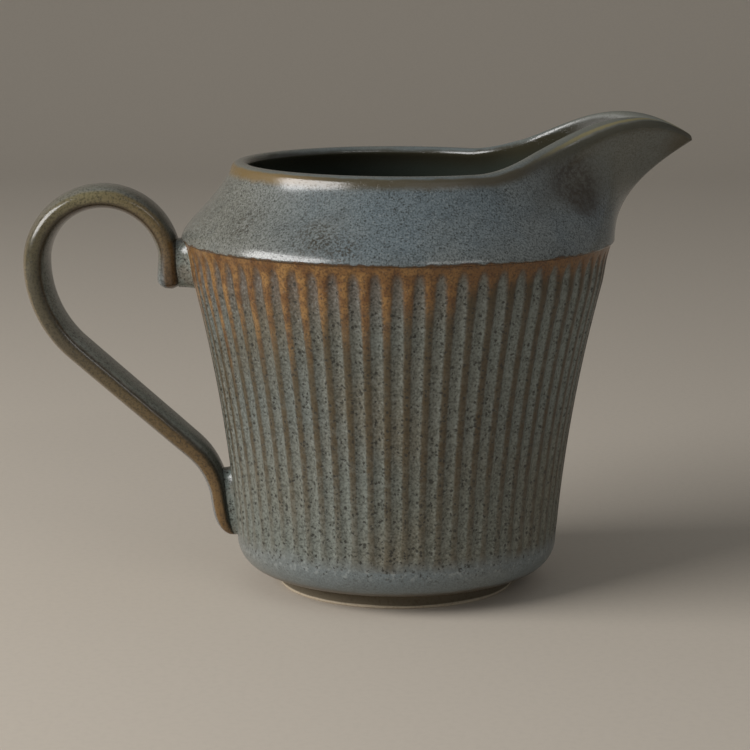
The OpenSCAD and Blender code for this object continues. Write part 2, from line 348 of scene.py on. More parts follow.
def flute_rows():
    """Outside of the fluted wall, from the shoulder edge to the heel, with how full each flute is."""
    z = mix(seam_z, heel_z, np.linspace(0, 1, wall_steps)[1:])[:, None]
    ends = np.minimum(
        np.clip((flute_top - z) / flute_top_len, 0, 1),
        np.clip((z - heel_z) / flute_low_len, 0, 1) ** flute_low_power,
    )
    # never quite closed, so that nothing is divided by 0
    width = flute_share * np.sqrt(1 - (1 - ends) ** 2) + 1e-6
    across = np.clip(np.abs(flute_phase) / width, 0, 1)
    pool = (1 - across**2) ** flute_power * np.sqrt(ends)
    ridge = np.clip((np.abs(flute_phase) - width) / (0.5 - width), 0, 1)
    crown = ridge_crown * (1 - (1 - ridge) ** 2) * ends
    depth = mix(flute_low_depth, flute_top_depth, (z - heel_z) / (flute_top - heel_z))
    tuck = edge_tuck * ease((z - (shoulder_z - tuck_start)) / tuck_run)
    fade = 1 - ease((z - (flute_top - crown_run)) / crown_run)
    r = wall_r(z) - tuck - depth * pool + crown * fade
    return revolved(r, z[:, 0]), pool


def heel_rows():
    """Outside of the heel and the underside, from the wall to the middle."""
    arc = np.radians(np.linspace(0, -90, heel_steps))[1:]
    under_r = np.array([foot_r, foot_r - foot_w, 0.7 * foot_r, 0.45 * foot_r, 0.2 * foot_r])
    r = np.r_[floor_r + heel_r * np.cos(arc), under_r]
    z = np.r_[heel_z + heel_r * np.sin(arc), under_r * 0 + foot_h]
    return revolved(r, z)


inner_dish, inner_wall = inner_rows()
inner_collar = inner_collar_rows()
lip = lip_rows()
outer_collar = outer_collar_rows()
outer_wall, wall_pool = flute_rows()
outer_heel = heel_rows()
blocks = [inner_dish, inner_wall, inner_collar, lip, outer_collar, outer_wall, outer_heel]
body = np.concatenate(blocks)
block_ends = np.cumsum([len(b) for b in blocks])
dish_in_end, wall_in_end, collar_in_end, lip_end, collar_out_end, wall_out_end, _ = block_ends


def grid_normals(points):
    """Outward normals of the whole body, so that its pieces meet without a visible seam."""
    down = np.gradient(points, axis=0)
    along = np.roll(points, -1, 1) - np.roll(points, 1, 1)
    return unit(np.cross(down, along))


body_normals = grid_normals(body)
pool_rows = np.zeros(body.shape[:2])
pool_rows[collar_out_end:wall_out_end] = wall_pool


def rim_distance(points):
    """Distance along the profile from the crest of the rim: below 0 inside, above 0 outside."""
    steps = np.linalg.norm(np.diff(points, axis=0), axis=-1)
    along = np.concatenate([np.zeros((1, columns)), np.cumsum(steps, 0)])
    crest_row = collar_in_end + (lip_end - collar_in_end) // 2 - 1
    return along - along[crest_row]


rim_rows = rim_distance(body)


def new_piece(name, points, faces):
    """A mesh object from points in millimetres and lists of corners."""
    mesh = bpy.data.meshes.new(name)
    mesh.from_pydata((np.asarray(points) * MM).tolist(), [], [list(map(int, f)) for f in faces])
    mesh.shade_smooth()
    piece = bpy.data.objects.new(name, mesh)
    bpy.context.scene.collection.objects.link(piece)
    return piece


def keep_values(piece, name, values):
    """Stores one number per point for the materials to read."""
    layer = piece.data.attributes.new(name, "FLOAT", "POINT")
    layer.data.foreach_set("value", np.asarray(values, np.float32))


def body_piece(name, row_runs, cols=None, poles=()):
    """A closed piece of the body: runs of rows, over all columns or some, with faces across the seams.

    row_runs are (first, last) rows, in order; the seams join each run's end to the next one's start.
    poles names the ends, "first" or "last", that close in the middle of the floor, not at a seam.
    """
    whole = cols is None
    cols = np.arange(columns) if whole else np.asarray(cols)
    rows = np.concatenate([np.arange(a, b + 1) for a, b in row_runs])
    index = np.arange(len(rows) * len(cols)).reshape(len(rows), len(cols))
    points = body[np.ix_(rows, cols)].reshape(-1, 3)
    normals = body_normals[np.ix_(rows, cols)].reshape(-1, 3)
    step = index if whole else index[:, :-1]
    after = np.roll(index, -1, 1) if whole else index[:, 1:]
    skin = []
    seams = []
    for k in range(len(rows) - 1):
        strip = np.stack([step[k], step[k + 1], after[k + 1], after[k]], -1)
        (skin if rows[k + 1] == rows[k] + 1 else seams).extend(strip.tolist())
    if not poles:
        strip = np.stack([step[-1], step[0], after[0], after[-1]], -1)
        seams.extend(strip.tolist())
    if not whole:
        seams.append(index[::-1, 0].tolist())
        seams.append(index[:, -1].tolist())
    for pole in poles:
        ring = index[0] if pole == "first" else index[-1][::-1]
        middle = body[rows[0] if pole == "first" else rows[-1]].mean(0)
        points = np.vstack([points, middle])
        up = [0.0, 0.0, 1.0 if pole == "first" else -1.0]
        normals = np.vstack([normals, up])
        skin.extend([a, b, len(points) - 1] for a, b in zip(ring, np.roll(ring, -1)))
    piece = new_piece(name, points, skin + seams)
    mesh = piece.data
    corners = np.empty(len(mesh.loops), np.int32)
    mesh.loops.foreach_get("vertex_index", corners)
    corner_normals = normals[corners]
    for face in mesh.polygons[len(skin):]:
        corner_normals[list(face.loop_indices)] = np.array(face.normal)
    mesh.normals_split_custom_set(corner_normals.tolist())
    spare = [0.0] * len(poles)
    keep_values(piece, "pool", np.r_[pool_rows[np.ix_(rows, cols)].ravel(), spare])
    ends = [rim_rows[0].mean() if p == "first" else rim_rows[-1].mean() for p in poles]
    keep_values(piece, "rim", np.r_[rim_rows[np.ix_(rows, cols)].ravel(), ends])
    return piece


spout_cols = np.flatnonzero(in_spout)
collar_cols = np.arange(spout_cols[-1], spout_cols[0] + columns + 1) % columns
collar_run = [(wall_in_end - 1, collar_out_end - 1)]
heel_start = wall_out_end - 1

base_dish = body_piece(
    "heel_and_floor",
    [(0, dish_in_end - 1), (heel_start, len(body) - 1)],
    poles=("first", "last"),
)
fluted_wall = body_piece(
    "fluted_wall_glazed",
    [(dish_in_end - 1, wall_in_end - 1), (collar_out_end - 1, heel_start)],
)
collar = body_piece("collar_and_rim", collar_run, cols=collar_cols)
spout = body_piece("beak_spout", collar_run, cols=spout_cols)


def swept(name, rings):
    """A closed piece through rings of points, each end drawn to the middle of its ring."""
    index = np.arange(rings.shape[0] * rings.shape[1]).reshape(rings.shape[:2])
    points = np.vstack([rings.reshape(-1, 3), rings[0].mean(0), rings[-1].mean(0)])
    faces = []
    for a, b in zip(index, index[1:]):
        faces.extend(np.stack([a, b, np.roll(b, -1), np.roll(a, -1)], -1).tolist())
    faces.extend([a, b, len(points) - 2] for a, b in zip(index[0], np.roll(index[0], -1)))
    faces.extend([b, a, len(points) - 1] for a, b in zip(index[-1], np.roll(index[-1], -1)))
    return new_piece(name, points, faces)


# Foot ring: a band of bare clay with worn edges

def foot_ring_piece():
    inner = foot_r - foot_w
    turns = np.linspace(0, math.pi / 2, bevel_steps)
    rise = foot_bevel * np.sin(turns)
    back = foot_bevel * np.cos(turns)
    inner_arc = np.stack([inner + foot_bevel - back, foot_bevel - rise], -1)
    outer_arc = np.stack([foot_r - foot_bevel + rise, foot_bevel - back], -1)
    outline = np.vstack([(inner, foot_h), inner_arc, outer_arc, (foot_r, foot_h)])
    angle = np.linspace(0, 2 * math.pi, foot_columns, endpoint=False)
    rings = np.stack([
        np.outer(np.cos(angle), outline[:, 0]),
        np.outer(np.sin(angle), outline[:, 0]),
        np.outer(np.ones(len(angle)), outline[:, 1]),
    ], -1)
    n = len(outline)
    index = np.arange(len(angle) * n).reshape(len(angle), n)
    faces = []
    for a, b in zip(index, np.roll(index, -1, 0)):
        faces.extend(np.stack([a, b, np.roll(b, -1), np.roll(a, -1)], -1).tolist())
    piece = new_piece("foot_ring_clay", rings.reshape(-1, 3), faces)
    piece.data.set_sharp_from_angle(angle=math.radians(50))
    return piece


foot_ring = foot_ring_piece()


# Handle: a strap swept along straight stretches and arcs in the XZ plane

def polar(angle):
    return np.array([math.cos(angle), math.sin(angle)])


def cross(a, b):
    """Cross product of two directions in the plane."""
    return a[0] * b[1] - a[1] * b[0]


# The face of the tail towards the wall, where its bed begins and where it ends
tail_top = np.array([-(wall_r(heel_z + tail_bed_l) + tail_bed), heel_z + tail_bed_l])
tail_low = np.array([-(wall_r(tail_z) + tail_end_bed), tail_z])


def strap_path():
    """Stations of the middle of the strap, the length along it there, and at each stretch's end."""
    loop_c = np.array([-(shoulder_r + lug_gap + lug_t / 2 + loop_r), loop_z])
    lug_top = loop_c + loop_r * polar(lug_lean)
    lug_low = lug_top + lug_len * polar(lug_lean - math.pi / 2)
    back = loop_c - [loop_r, 0]
    swing_c = back + [swing_r, 0]
    run_start = swing_c + swing_r * polar(math.pi + swing_angle)
    run_dir = polar(swing_angle - math.pi / 2)

    tail_end = tail_low - [tail_t / 2, 0]
    tail_dir = unit(tail_low - tail_top)
    gap = tail_end - run_start
    share = cross(gap, tail_dir) / cross(run_dir, tail_dir)
    corner = run_start + share * run_dir
    run_a = math.atan2(run_dir[1], run_dir[0])
    tail_a = math.atan2(tail_dir[1], tail_dir[0])
    tangent = tail_bend_r * math.tan((run_a - tail_a) / 2)
    bend_start = corner - tangent * run_dir
    bend_c = bend_start + tail_bend_r * polar(run_a - math.pi / 2)
    bend_end = corner + tangent * tail_dir

    def line(a, b, n):
        return [mix(a, b, t) for t in np.linspace(0, 1, n + 1)[1:]]

    def arc(c, r, first, last, n):
        return [c + r * polar(a) for a in np.linspace(first, last, n + 1)[1:]]

    stretches = [
        [lug_low] + line(lug_low, lug_top, 14),
        arc(loop_c, loop_r, lug_lean, math.pi, 64),
        arc(swing_c, swing_r, math.pi, math.pi + swing_angle, 26),
        line(run_start, bend_start, 20),
        arc(bend_c, tail_bend_r, run_a + math.pi / 2, tail_a + math.pi / 2, 20),
        line(bend_end, tail_end, 22),
    ]
    points = np.array([p for stretch in stretches for p in stretch])
    steps = np.linalg.norm(np.diff(points, axis=0), axis=1)
    length = np.r_[0, np.cumsum(steps)]
    marks = length[np.cumsum([len(s) for s in stretches]) - 1]
    return points, length, marks


strap, strap_length, strap_marks = strap_path()


def strap_size(lug, loop, run, tail):
    """Width or thickness along the strap, from its values at the lug, loop, run and tail."""
    lug_end, loop_end, _, run_end, bend_end, _ = strap_marks
    keys = [lug_end, loop_end, run_end, bend_end]
    sizes = np.interp(strap_length, keys, [lug, loop, run, tail])
    # the sizes change without kinks
    kernel = np.hanning(2 * strap_smooth + 1)
    padded = np.pad(sizes, strap_smooth, mode="edge")
    return np.convolve(padded, kernel / kernel.sum(), mode="valid")


def strap_outward():
    """Direction across the thickness of the strap at each station, away from the opening."""
    along = unit(np.gradient(strap, strap_length, axis=0))
    return np.stack([along[:, 1], -along[:, 0]], -1)


def handle_piece():
    outward = strap_outward()
    half_w = strap_size(lug_w, loop_w, run_w, tail_w) / 2
    half_t = strap_size(lug_t, loop_t, run_t, tail_t) / 2
    # the lug ends in a round tip, and the tail rounds off towards the wall
    from_lug = np.clip((strap_length + tip_gap) / lug_round, 0, 1)
    from_tail = np.clip((strap_length[-1] - strap_length + tip_gap) / tail_round, 0, 1)
    lug_k = np.sqrt(1 - (1 - from_lug) ** 2)
    tail_k = np.sqrt(1 - (1 - from_tail) ** tail_power)
    half_w = half_w * mix(lug_tip_w, 1, lug_k) * mix(tail_tip_w, 1, tail_k)
    outer = half_t * (2 * tail_k - 1) * lug_k
    swell = lug_swell * (1 - ease(strap_length / lug_swell_l))
    inner = -(half_t + swell) * lug_k
    a = np.linspace(0, 2 * math.pi, strap_corners, endpoint=False)
    power = 2 / strap_square
    across = np.sign(np.cos(a)) * np.abs(np.cos(a)) ** power
    through = np.sign(np.sin(a)) * np.abs(np.sin(a)) ** power
    middle = (outer + inner) / 2
    reach = (outer - inner) / 2
    offset = middle[:, None] + reach[:, None] * through
    place = strap[:, None, :] + outward[:, None, :] * offset[..., None]
    rings = np.stack([place[..., 0], half_w[:, None] * across, place[..., 1]], -1)
    piece = swept("strap_handle", rings)
    # how much the surface faces sideways, and which of the two faces it is on
    sideways = np.abs(across) ** (strap_square - 1) / half_w.max()
    flat = np.abs(through) ** (strap_square - 1) / half_t.max()
    edge = sideways / np.hypot(sideways, flat)
    keep_values(piece, "edge", np.r_[np.tile(edge, len(strap)), 1.0, 1.0])
    keep_values(piece, "face", np.r_[np.tile(through, len(strap)), 0.0, 0.0])
    share = np.repeat(strap_length / strap_length[-1], strap_corners)
    keep_values(piece, "along", np.r_[share, 0.0, 1.0])
    return piece


handle = handle_piece()


# Joins: pads of clay and pooled glaze between the handle and the wall

pad_power = 0.7
pad_curve = 2.4
pad_half_l = 6.8
bed_shift = 1.6


def join_piece(name, middle, along, depth, half_l, half_w, flare, sink):
    """A pad that spreads from the strap onto the wall; middle is on the strap's side, in XZ."""
    a = np.linspace(0, 2 * math.pi, join_corners, endpoint=False)
    across = np.sign(np.cos(a)) * np.abs(np.cos(a)) ** pad_power
    length = np.sign(np.sin(a)) * np.abs(np.sin(a)) ** pad_power
    rings = []
    for t in np.linspace(0, 1, join_steps):
        spread = flare * t**pad_curve
        y = half_w * (1 + spread) * across
        spine = middle + along * (half_l * (1 + spread / 2) * length)[:, None]
        z = spine[:, 1]
        wall_x = -np.sqrt(np.maximum(wall_r(z) ** 2 - y**2, 1.0)) + sink
        x = mix(spine[:, 0] - depth, wall_x, t)
        rings.append(np.stack([x, y, z], -1))
    return swept(name, np.array(rings)[:, ::-1])


lug_dir = polar(lug_lean + math.pi / 2)
tail_up = unit(tail_top - tail_low)
upper_join = join_piece(
    "upper_join_glaze",
    middle=strap[0] + pad_half_l * lug_dir + lug_t / 2 * polar(lug_lean),
    along=lug_dir,
    depth=1.2,
    half_l=pad_half_l,
    half_w=6.2,
    flare=0.2,
    sink=1.4,
)
lower_join = join_piece(
    "lower_join_glaze",
    middle=(tail_top + tail_low) / 2 + bed_shift * tail_up,
    along=tail_up,
    depth=0.8,
    half_l=9.6,
    half_w=5.0,
    flare=0.25,
    sink=1.3,
)


# Materials

def srgb(code):
    """Linear colour from a hex code."""
    parts = [int(code[k:k + 2], 16) / 255 for k in (1, 3, 5)]
    return [p / 12.92 if p <= 0.04045 else ((p + 0.055) / 1.055) ** 2.4 for p in parts] + [1.0]


# Refraction of the glaze, and the outline of its specks: waves and shift per cell, and soft border
GLAZE_IOR = 1.6
SPECK_WAVES = 2.5
SPECK_SHIFT = 0.9
SPECK_SOFT = 0.08


class Glaze:
    """A node material in the making; its methods add nodes and return what they put out."""

    def __init__(self, name, roughness, bump):
        self.material = bpy.data.materials.new(name)
        self.material.use_nodes = True
        self.tree = self.material.node_tree
        self.shader = self.tree.nodes["Principled BSDF"]
        self.shader.inputs["Roughness"].default_value = roughness
        self.shader.inputs["IOR"].default_value = GLAZE_IOR
        self.bump_depth = bump
        self.place = self.add("ShaderNodeTexCoord").outputs["Object"]

    def add(self, kind, inputs=(), **settings):
        node = self.tree.nodes.new(kind)
        for key, value in settings.items():
            setattr(node, key, value)
        for key, value in dict(inputs).items():
            if isinstance(value, bpy.types.NodeSocket):
                self.tree.links.new(value, node.inputs[key])
            else:
                node.inputs[key].default_value = value
        return node

    def math(self, operation, a, b=0.0):
        return self.add("ShaderNodeMath", {0: a, 1: b}, operation=operation).outputs[0]

    def times(self, a, b):
        return self.math("MULTIPLY", a, b)

    def plus(self, a, b):
        return self.math("ADD", a, b)

    def minus(self, a, b):
        return self.math("SUBTRACT", a, b)

    def inverse(self, share):
        """1 minus a share."""
        return self.minus(1.0, share)

    def waver(self, noise, width):
        """Noise as a shift to both sides, of that width in all."""
        return self.times(self.minus(noise, 0.5), width)

    def scaled(self, share, factor, base):
        """A share times a factor, on top of a base."""
        return self.plus(self.times(share, factor), base)

    def ramp(self, value, low, high):
        """0 at low, 1 at high, smooth between."""
        inputs = {"Value": value, "From Min": low, "From Max": high}
        return self.add("ShaderNodeMapRange", inputs, interpolation_type="SMOOTHSTEP").outputs["Result"]

    def band(self, value, start, full, last, end):
        """0 up to start, 1 from full to last, 0 again from end."""
        return self.times(self.ramp(value, start, full), self.ramp(value, end, last))

    def mix(self, share, a, b):
        inputs = {0: share, 6: a, 7: b}
        return self.add("ShaderNodeMix", inputs, data_type="RGBA").outputs[2]

    def bands(self, value, stops):
        """Colour along a value from 0 to 1, blended between stops of place and colour."""
        node = self.add("ShaderNodeValToRGB", {"Fac": value})
        first, last = node.color_ramp.elements
        first.position, first.color = stops[0]
        last.position, last.color = stops[-1]
        for place, colour in stops[1:-1]:
            node.color_ramp.elements.new(place).color = colour
        return node.outputs["Color"]

    def darken(self, share, colour, by):
        inputs = {0: share, 6: colour, 7: by}
        return self.add("ShaderNodeMix", inputs, data_type="RGBA", blend_type="MULTIPLY").outputs[2]

    def noise(self, size, detail=2.0, seed=0.0, vector=None):
        """Noise with features about as large as size, in millimetres."""
        inputs = {"Vector": vector or self.place, "W": seed, "Scale": 1 / (size * MM), "Detail": detail}
        return self.add("ShaderNodeTexNoise", inputs, noise_dimensions="4D").outputs["Fac"]

    def vector(self, operation, inputs, output="Vector"):
        return self.add("ShaderNodeVectorMath", inputs, operation=operation).outputs[output]

    def specks(self, cell, largest, rarity=1.6):
        """Ragged specks, one to a cell of that size in millimetres; the rarer, the fewer large ones."""
        inputs = {"Vector": self.place, "Scale": SPECK_WAVES / (cell * MM), "Detail": 1.0}
        wander = self.add("ShaderNodeTexNoise", inputs).outputs["Color"]
        shift = self.vector("SCALE", {0: wander, "Scale": SPECK_SHIFT * cell * MM})
        bent = self.vector("ADD", {0: self.place, 1: shift})
        cells = self.add("ShaderNodeTexVoronoi", {"Vector": bent, "Scale": 1 / (cell * MM)})
        chance = self.add("ShaderNodeSeparateColor", {0: cells.outputs["Color"]}).outputs[0]
        size = self.times(self.math("POWER", chance, rarity), largest)
        gap = self.minus(cells.outputs["Distance"], size)
        return self.inverse(self.ramp(gap, -SPECK_SOFT, SPECK_SOFT))

    def value(self, name):
        """A number stored on the mesh's points."""
        return self.add("ShaderNodeAttribute", attribute_name=name).outputs["Fac"]

    def axis(self, k):
        """Object coordinate k in millimetres."""
        split = self.add("ShaderNodeSeparateXYZ", {0: self.place})
        return self.math("DIVIDE", split.outputs[k], MM)

    def near(self, spot, reach):
        """1 at a spot given in millimetres, 0 beyond its reach."""
        spot = [s * MM for s in spot]
        away = self.vector("DISTANCE", {0: self.place, 1: spot}, "Value")
        return self.inverse(self.ramp(away, 0.0, reach * MM))

    def heading(self):
        """Direction away from the axis, level and of length 1."""
        level = self.vector("MULTIPLY", {0: self.place, 1: (1.0, 1.0, 0.0)})
        return self.vector("NORMALIZE", {0: level})

    def finish(self, colour, height, roughness=None):
        """Gives the shader its colour, its bump and, where it varies, its roughness."""
        self.tree.links.new(colour, self.shader.inputs["Base Color"])
        inputs = {"Height": height, "Strength": 1.0, "Distance": self.bump_depth * MM}
        bump = self.add("ShaderNodeBump", inputs)
        self.tree.links.new(bump.outputs["Normal"], self.shader.inputs["Normal"])
        if roughness is not None:
            self.tree.links.new(roughness, self.shader.inputs["Roughness"])
        return self.material


# Colours of the glaze where it pools, where it breaks over edges, and of the clay; some of them also
# carry painted light and shade, as noted where they are used
GREY_BLUE = srgb("#697478")
GREY_WARM = srgb("#7d7b70")
PALE_FLECK = srgb("#999e9b")
FLUTE_GREY = srgb("#666c67")
FLUTE_WARM = srgb("#696455")
FLUTE_BLUE = srgb("#747b75")
FLUTE_MAUVE = srgb("#5f5147")
FLUTE_PALE_AND_LIT = srgb("#7d8582")
SPECK = srgb("#23231d")
RIDGE_BROWN = srgb("#4c3f27")
RUST = srgb("#6c4820")
AMBER = srgb("#97713e")
RUST_DARK_AND_SHADE = srgb("#3d2a18")
RIM_OLIVE = srgb("#4a412b")
RIM_TAN = srgb("#75603a")
LIP_GREY = srgb("#5e6057")
OLIVE_LINE = srgb("#857c55")
OLIVE_DARK = srgb("#3b3826")
STAIN = srgb("#332a1b")
VEIL = srgb("#646153")
# painted shade: the inside's colours are darkened to stand for the shade inside the pitcher
INSIDE_SHADED = srgb("#444a42")
INSIDE_OLIVE_SHADED = srgb("#3b382b")
HEEL_BLUE = srgb("#727a7a")
UNDER_BROWN_SHADE = srgb("#4f4534")
POOL_GREEN = srgb("#7f8983")
CLAY = srgb("#cabca4")
CLAY_BROWN = srgb("#6a604d")

# Shades that darken a colour, by a factor for each of its parts
GRAIN_SHADE = (0.56, 0.56, 0.54, 1.0)
MOTTLE_SHADE = (0.84, 0.85, 0.86, 1.0)
RUST_SHADE = (0.5, 0.46, 0.42, 1.0)
RIDGE_SHADE = (0.7, 0.7, 0.68, 1.0)
THICK_AND_SHADED_SIDE = (0.85, 0.79, 0.67, 1.0)
FLANK_SHADE = (0.72, 0.7, 0.67, 1.0)
LOW_SHADE = (0.98, 0.95, 0.89, 1.0)
STRAP_SHADE = (0.62, 0.62, 0.6, 1.0)
CLAY_SHADE = (0.8, 0.77, 0.74, 1.0)
FLOOR_SHADE = (0.97, 0.97, 0.97, 1.0)


def tones(*stops):
    """Stops of place and colour, from places with hex codes."""
    return [(place, srgb(code)) for place, code in stops]


# Glaze along the handle, from the lug to the tail: on its edges, on the side of them towards the
# opening, on its outer face and on its inner face.
# The glaze breaks brown over the edges; the stops also hold painted light and shade: lighter where the
# window lights the strap and where it is reflected, darker where the strap is shaded, with painted
# shade on the side of the edges towards the opening.
STRAP_EDGE_LIT_SHADED = tones(
    (0.0, "#5c452d"), (0.13, "#67583a"), (0.24, "#746c4e"), (0.33, "#524b35"),
    (0.42, "#413d2c"), (0.55, "#4c4433"), (0.7, "#5e4f34"), (0.92, "#6d5431"),
    (1.0, "#7c5d35"),
)
STRAP_ARRIS_LIT_SHADED = tones(
    (0.0, "#6f7678"), (0.07, "#4a3c29"), (0.25, "#3f3422"), (0.6, "#423d31"),
    (0.85, "#3a3428"), (0.95, "#2a2418"), (1.0, "#4a3a22"),
)
STRAP_OUTER_LIT_SHADED = tones(
    (0.0, "#3a352b"), (0.12, "#4b4a40"), (0.22, "#74746a"), (0.32, "#716c5f"),
    (0.42, "#6e6044"), (0.7, "#716247"), (0.92, "#7d807f"),
)
STRAP_INNER_LIT_SHADED = tones(
    (0.0, "#7d8587"), (0.06, "#6a685b"), (0.14, "#5a4a35"), (0.27, "#4f4031"),
    (0.4, "#75776f"), (0.55, "#868981"), (0.8, "#83867e"), (0.92, "#3f3e35"),
    (1.0, "#5f6c6a"),
)

# Stains: place in millimetres, reach and, for the clusters of spots, strength
COLLAR_STAINS = [
    ((-21.0, -52.0, 103.0), 12.0, 0.85),
    ((-40.0, -36.0, 105.0), 10.0, 0.6),
    ((-13.0, -56.0, 101.0), 7.0, 0.8),
    ((-35.0, 42.0, 106.0), 15.0, 0.85),
]
SPOUT_STAINS = [
    ((48.5, -23.0, 115.5), 13.5),
    ((48.5, 23.0, 115.5), 13.5),
    ((50.0, -23.0, 111.0), 7.5),
]

# Level direction in which the glaze is thinnest; it is also the way to the window, so the colours keyed
# to it are partly painted light and shade
THIN_AND_LIT_WAY = (-0.85, -0.53, 0.0)

# Tongues of rust on the ridges: their least length, and how much longer they can be
TONGUE_LEAST = 3.0
TONGUE_MORE = 46.0


def grained(g, colour, grain, share=1.0):
    """Dark grain and pale flecks in a glaze."""
    dark_line_and_shade = g.times(g.ramp(grain, 0.54, 0.38), share)
    colour = g.darken(dark_line_and_shade, colour, GRAIN_SHADE)
    pale = g.times(g.ramp(grain, 0.56, 0.68), g.times(share, 0.3))
    return g.mix(pale, colour, PALE_FLECK)


def specked(g, colour, cell, share=1.0):
    """Iron specks over a colour, with their share for bump."""
    fine = g.specks(cell, largest=0.46, rarity=1.5)
    large = g.specks(2.6 * cell, largest=0.22, rarity=2.5)
    colour = g.mix(g.times(fine, g.times(share, 0.88)), colour, SPECK)
    colour = g.mix(g.times(large, g.times(share, 0.85)), colour, SPECK)
    return colour, fine


def grey_glaze(g, share=1.0):
    """Grey-blue glaze with fine iron specks; returns its colour and its height for bump."""
    # painted sheen: the grey turns warmer towards the window's side, standing in for the window's sheen
    # on the glaze
    window_sheen_side = g.times(g.ramp(g.axis(0), -10.0, -46.0), 0.8)
    cloud = g.times(g.ramp(g.noise(26, seed=1.0), 0.42, 0.68), 0.4)
    mottle = g.noise(4.5, detail=3.0, seed=2.0)
    grain = g.noise(0.5, detail=2.0, seed=3.0)
    colour = g.mix(g.math("MAXIMUM", window_sheen_side, cloud), GREY_BLUE, GREY_WARM)
    colour = g.darken(g.ramp(mottle, 0.58, 0.3), colour, MOTTLE_SHADE)
    colour = grained(g, colour, grain, share)
    colour, specks = specked(g, colour, 0.62, g.times(share, 0.8))
    height = g.minus(g.times(grain, 0.6), g.times(specks, 0.4))
    return colour, height


def thin_and_lit_side(g):
    """1 on the side of the pot where its glaze is thinnest and the window lights it, 0 on the other
    side; colour keyed to it is partly painted light.
    """
    towards = g.vector("DOT_PRODUCT", {0: g.heading(), 1: THIN_AND_LIT_WAY}, "Value")
    return g.ramp(towards, -0.05, 0.9)


def rust_tone(g, mottle):
    """Rust with amber patches, where the glaze is thin under the shoulder edge; more amber on the
    window's side, partly painted light.
    """
    grain = g.noise(0.6, detail=2.0, seed=9.0)
    amber = g.times(g.ramp(mottle, 0.36, 0.64), g.scaled(thin_and_lit_side(g), 0.7, 0.3))
    colour = g.mix(amber, RUST, AMBER)
    return g.darken(g.ramp(grain, 0.56, 0.36), colour, RUST_SHADE)


def inside_painted_shade(g, colour, lip_edge):
    """The inside of the pitcher, darkened as painted shade: olive below the inner edge of the lip,
    grey-green further down.
    """
    blur = g.waver(g.noise(6, seed=7.0), 2.0)
    depth = g.plus(g.plus(g.value("rim"), lip_edge), blur)
    deep_shade = g.mix(g.ramp(depth, -1.5, -9.0), INSIDE_OLIVE_SHADED, INSIDE_SHADED)
    return g.mix(g.ramp(depth, 0.6, -0.9), colour, deep_shade)


def rim_lines(g, colour, on_spout):
    """Lines along the rim: tan or olive around the collar, bright olive over a dark band on the spout.

    Returns the colour and the share of the line around the collar.
    """
    rim = g.plus(g.value("rim"), g.waver(g.noise(5, seed=5.0), 1.3))
    tan = g.mix(g.ramp(g.axis(0), -12.0, -34.0), RIM_OLIVE, RIM_TAN)
    line = g.times(g.band(rim, 1.5, 2.4, 3.6, 6.0), g.minus(0.9, g.times(on_spout, 0.9)))
    colour = g.mix(line, colour, tan)
    share = g.times(on_spout, 0.85)
    colour = g.mix(g.times(g.band(rim, 2.8, 3.6, 4.5, 7.5), share), colour, OLIVE_DARK)
    colour = g.mix(g.times(g.band(rim, 1.4, 2.0, 2.4, 3.0), share), colour, OLIVE_LINE)
    return colour, line


def stained(g, colour):
    """Brown stains: clusters of spots on the collar and soft patches on the flanks of the spout."""
    spots = g.ramp(g.noise(0.7, detail=3.0, seed=11.0), 0.48, 0.62)
    soft = g.scaled(g.ramp(g.noise(0.9, detail=3.0, seed=13.0), 0.4, 0.62), 0.35, 0.55)
    for spot, reach, strength in COLLAR_STAINS:
        share = g.times(g.times(g.near(spot, reach), strength), spots)
        colour = g.mix(share, colour, STAIN)
    for spot, reach in SPOUT_STAINS:
        share = g.math("MINIMUM", g.times(g.near(spot, reach), 1.5), 0.95)
        colour = g.mix(g.times(share, soft), colour, STAIN)
    return colour


def collar_glaze():
    """Collar, rim and spout: grey-blue, with brown stains, lines along the rim and rust at the edge."""
    polish = 0.19
    g = Glaze("collar_glaze", roughness=polish, bump=0.05)
    on_spout = g.ramp(g.axis(0), 30.0, 52.0)
    on_lip = g.ramp(g.math("ABSOLUTE", g.value("rim")), 5.0, 2.5)
    colour, height = grey_glaze(g, g.inverse(g.times(on_lip, 0.6)))
    veil = g.times(g.times(on_spout, g.ramp(g.axis(2), 105.0, 115.0)), 0.6)
    colour = g.mix(g.times(on_lip, 0.45), colour, LIP_GREY)
    colour = stained(g, g.mix(veil, colour, VEIL))
    colour, line = rim_lines(g, colour, on_spout)
    tip = g.times(g.near((spout_reach - 3, -2.0, peak_z - tip_drop), 9.0), 0.8)
    colour = g.mix(tip, colour, RIM_OLIVE)
    # painted shade on the inside, starting deeper on the spout so that its lip stays light
    colour = inside_painted_shade(g, colour, g.scaled(on_spout, 2.1, 2.0))
    mottle = g.noise(3.5, detail=3.0, seed=2.0)
    edge = g.plus(g.axis(2), g.waver(mottle, 2.6))
    outside = g.ramp(g.value("rim"), 6.0, 8.0)
    rust = g.times(g.ramp(edge, shoulder_z, shoulder_z - 0.35), outside)
    colour = g.mix(rust, colour, rust_tone(g, mottle))
    # a dark rust line along the nose under the edge, partly painted shade under the overhang
    dark_line_and_shade = g.band(edge, shoulder_z - 0.75, shoulder_z - 0.35, shoulder_z - 0.15, shoulder_z + 0.15)
    colour = g.mix(g.times(g.times(dark_line_and_shade, outside), 0.75), colour, RUST_DARK_AND_SHADE)
    # the beak's lip and channel have worn matt, and so has the line along the rim beside the spout
    worn_beak = g.times(g.ramp(g.axis(0), 45.0, 56.0), g.ramp(g.value("rim"), 6.0, 4.0))
    worn_line = g.times(g.ramp(g.axis(0), -8.0, 6.0), line)
    worn = g.plus(g.times(worn_beak, 0.34), g.times(worn_line, 0.26))
    return g.finish(colour, height, g.plus(worn, polish))


